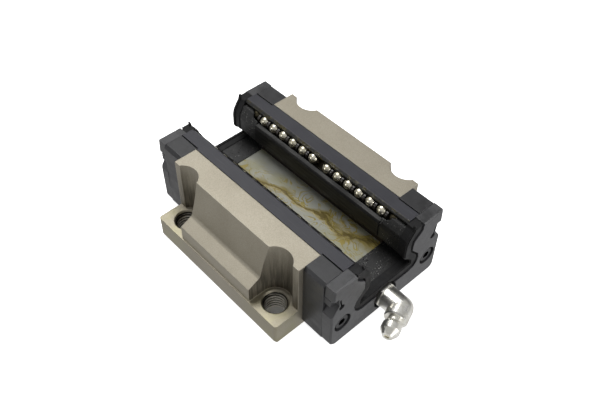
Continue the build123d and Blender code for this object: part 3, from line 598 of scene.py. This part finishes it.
def retainer_plastic():
    """Smooth bluish strip with lengthways scuffs; the right one's inner lip, beside the balls, is painted
    black as oil and shade, with yellow oil.
    """
    paint = Paint("retainer_plastic")
    edge = paint.soft_edges(0.25)
    scuff = paint.noise(0.5, detail=3.0, stretch=(1, 22, 1))
    cloud = paint.noise(8.0, detail=3.0)
    base = paint.mix(paint.band(cloud, 0.3, 0.7), STRIP_DARK, STRIP_LIGHT)
    base = paint.mix(paint.band(scuff, 0.55, 0.8, 0.0, 0.25), base, STRIP_SCUFF)
    # pale edges: edge wear and painted highlight
    base = paint.mix(paint.faded(edge, 0.25), base, STRIP_EDGE_WEAR_AND_HIGHLIGHT)
    lip = paint.both(paint.band(paint.x, LIP_ROOT + 0.1, LIP_ROOT - 0.1), paint.band(paint.x, 0.0, 1.0))
    oil = paint.band(paint.noise(1.1, detail=3.0, stretch=(1, 2, 1)), 0.44, 0.66)
    # oil and painted shade: the inner lip beside the ball row is painted black, with yellow oil
    paint.colour(paint.mix(lip, base, paint.mix(oil, BLACK_OIL_AND_SHADE, YELLOW_OIL)))
    rough = paint.band(cloud, 0.3, 0.7, 0.40, 0.52)
    paint.set("Roughness", paint.blend(lip, rough, paint.band(oil, 0.0, 1.0, 0.42, 0.20)))
    paint.bump(scuff, 0.005)
    paint.bump(paint.both(lip, oil), 0.03)
    return paint.material


def ledge_plastic():
    """Near-black strip between the ball rows, smeared lengthways with oil, and pale along its edge as wear
    and painted highlight.
    """
    paint = Paint("ledge_plastic")
    edge = paint.soft_edges(0.2)
    smear = paint.noise(0.8, detail=4.0, stretch=(1, 12, 1))
    worn = paint.noise(3.0, detail=3.0, stretch=(1, 3, 1))
    base = paint.mix(paint.band(smear, 0.35, 0.7), LEDGE_DARK, LEDGE_SMEAR)
    # pale edge: edge wear and painted highlight
    pale = paint.both(edge, paint.band(worn, 0.35, 0.7))
    paint.colour(paint.mix(paint.faded(pale, 0.4), base, LEDGE_EDGE_WEAR_AND_HIGHLIGHT))
    paint.set("Roughness", paint.band(smear, 0.3, 0.75, 0.55, 0.34))
    paint.set("Specular IOR Level", 0.2)
    paint.bump(smear, 0.010)
    return paint.material


def floor_retainer_plastic():
    """Brown-black strip beside the channel floor, streaked with oil."""
    paint = Paint("floor_retainer_plastic")
    paint.soft_edges(0.2)
    streak = paint.noise(0.9, detail=4.0, stretch=(1, 9, 1))
    stain = paint.noise(5.0, detail=3.0)
    base = paint.mix(paint.band(streak, 0.35, 0.65), BROWN_DARK, BROWN_LIGHT)
    paint.colour(paint.mix(paint.band(stain, 0.55, 0.75, 0.0, 0.6), base, BROWN_STAIN))
    paint.set("Roughness", paint.band(streak, 0.3, 0.7, 0.26, 0.5))
    paint.bump(streak, 0.03)
    return paint.material


def wiper_rubber():
    """Black nitrile rubber: dull, finely pitted, with dust where it faces out."""
    paint = Paint("wiper_rubber")
    edge = paint.soft_edges(0.2)
    pits = paint.noise(0.2, detail=3.0)
    dust = paint.noise(2.4, detail=4.0)
    base = paint.mix(paint.band(pits, 0.35, 0.65), RUBBER_DARK, RUBBER_LIGHT)
    base = paint.mix(paint.band(dust, 0.55, 0.8, 0.0, 0.3), base, RUBBER_DUST)
    # pale edges: edge wear and painted highlight
    paint.colour(paint.mix(paint.faded(edge, 0.25), base, RUBBER_EDGE_WEAR_AND_HIGHLIGHT))
    paint.set("Roughness", paint.band(dust, 0.3, 0.7, 0.50, 0.70))
    paint.set("Specular IOR Level", 0.25)
    paint.bump(pits, 0.014)
    return paint.material


def polished(name, dark, light, roughness, size, relief):
    """Smooth metal with faint smears of this size and hairline marks."""
    paint = Paint(name)
    smear = paint.noise(size, detail=4.0)
    hair = paint.noise(size * 0.12, stretch=(1, 4, 1))
    paint.colour(paint.mix(paint.band(smear, 0.35, 0.7), light, dark))
    paint.set("Metallic", 1.0)
    paint.set("Roughness", paint.band(smear, 0.3, 0.75, *roughness))
    paint.bump(hair, relief)
    return paint.material


def turned(name, dark, light, roughness):
    """Machined metal with fine tool marks round and along it, paler at its edges as wear and painted
    highlight.
    """
    paint = Paint(name)
    edge = paint.soft_edges(0.15)
    marks = paint.noise(0.25, detail=3.0, stretch=(1, 0.5, 1))
    tone = paint.mix(paint.band(marks, 0.3, 0.7), dark, light)
    # pale edges: edge wear and painted highlight
    bright = tuple(min(1, value) for value in shade(light, 2.0))
    paint.colour(paint.mix(paint.faded(edge, 0.4), tone, bright))
    paint.set("Metallic", 1.0)
    paint.set("Roughness", paint.band(marks, 0.3, 0.7, *roughness))
    paint.bump(marks, 0.008)
    return paint.material


def make_materials():
    """Material of every slot of the record, and a dark copy of the ball finish, painted shade, for the
    balls in the half turns.
    """
    materials = {
        "body_steel": body_steel(),
        "retainer_plastic": retainer_plastic(),
        "ledge_plastic": ledge_plastic(),
        "floor_retainer_plastic": floor_retainer_plastic(),
        "wiper_rubber": wiper_rubber(),
    }
    for name, finish in MOULDED.items():
        materials[name] = moulded(name, **finish)
    for name, finish in POLISHED.items():
        materials[name] = polished(name, **finish)
    for name, finish in TURNED.items():
        materials[name] = turned(name, **finish)
    return materials


def paint_nodes(materials):
    """Gives each CAD node the material of its slot; the balls in the half turns get the dark copy of the
    ball finish, painted shade inside the heads.
    """
    for part in frame["record"]["subparts"]:
        in_turn = part["node"].endswith("_turn_balls")
        # painted shade: the balls in the half turns lie in the heads' shade and get a darkened copy of the
        # ball finish
        material = materials["shaded_ball_steel" if in_turn else part["material_slot"]]
        mesh = frame["nodes"][part["node"]].data
        mesh.materials.clear()
        mesh.materials.append(material)


# --- thread in the bores ----------------------------------------------------------------
def thread_profile(radius, fade):
    """Points of the ridge across its run, as radius and height from its middle in pitches."""
    crest = radius - THREAD_DEPTH * fade
    foot = radius + THREAD_BURIED
    half_ridge = [(foot, THREAD_FOOT_HALF), (crest, THREAD_CREST_HALF)]
    return [(reach, -rise) for reach, rise in half_ridge] + half_ridge[::-1]


def make_thread(name, centre, radius, material):
    """Helical ridge of an M8 thread in one bore, fading out at both mouths."""
    count = round((THREAD_HIGH - THREAD_LOW) / THREAD_PITCH * THREAD_STEPS)
    vertices = []
    for step in range(count + 1):
        angle = 2 * math.pi * step / THREAD_STEPS
        height = THREAD_LOW + THREAD_PITCH * step / THREAD_STEPS
        fade = min(1, 2 * step / THREAD_STEPS, 2 * (count - step) / THREAD_STEPS)
        for reach, rise in thread_profile(radius, fade):
            vertices.append((
                centre[0] + reach * MM * math.cos(angle),
                centre[1] + reach * MM * math.sin(angle),
                (height + rise * THREAD_PITCH) * MM,
            ))
    faces = []
    for step in range(count):
        for corner in range(THREAD_CORNERS - 1):
            here = THREAD_CORNERS * step + corner
            above = here + THREAD_CORNERS
            faces.append((here, here + 1, above + 1, above))
    mesh = bpy.data.meshes.new(name)
    mesh.from_pydata(vertices, [], faces)
    mesh.materials.append(material)
    thread = bpy.data.objects.new(name, mesh)
    bpy.context.scene.collection.objects.link(thread)
    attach(thread, "carriage")


def make_threads():
    """One thread in each bore of the record's bolt pattern."""
    holes = next(m for m in frame["record"]["mounts"] if m["name"] == "mounting_holes")["dims"]
    half_x = holes["spacing_x_mm"] / 2 * MM
    half_y = holes["spacing_y_mm"] / 2 * MM
    material = thread_steel((half_x, half_y))
    for x_name, x in (("left", -half_x), ("right", half_x)):
        for y_name, y in (("near", -half_y), ("far", half_y)):
            make_thread(f"{y_name}_{x_name}_thread", (x, y), holes["hole_r_mm"], material)


make_camera()
make_stage()
all_materials = make_materials()
paint_nodes(all_materials)
make_threads()
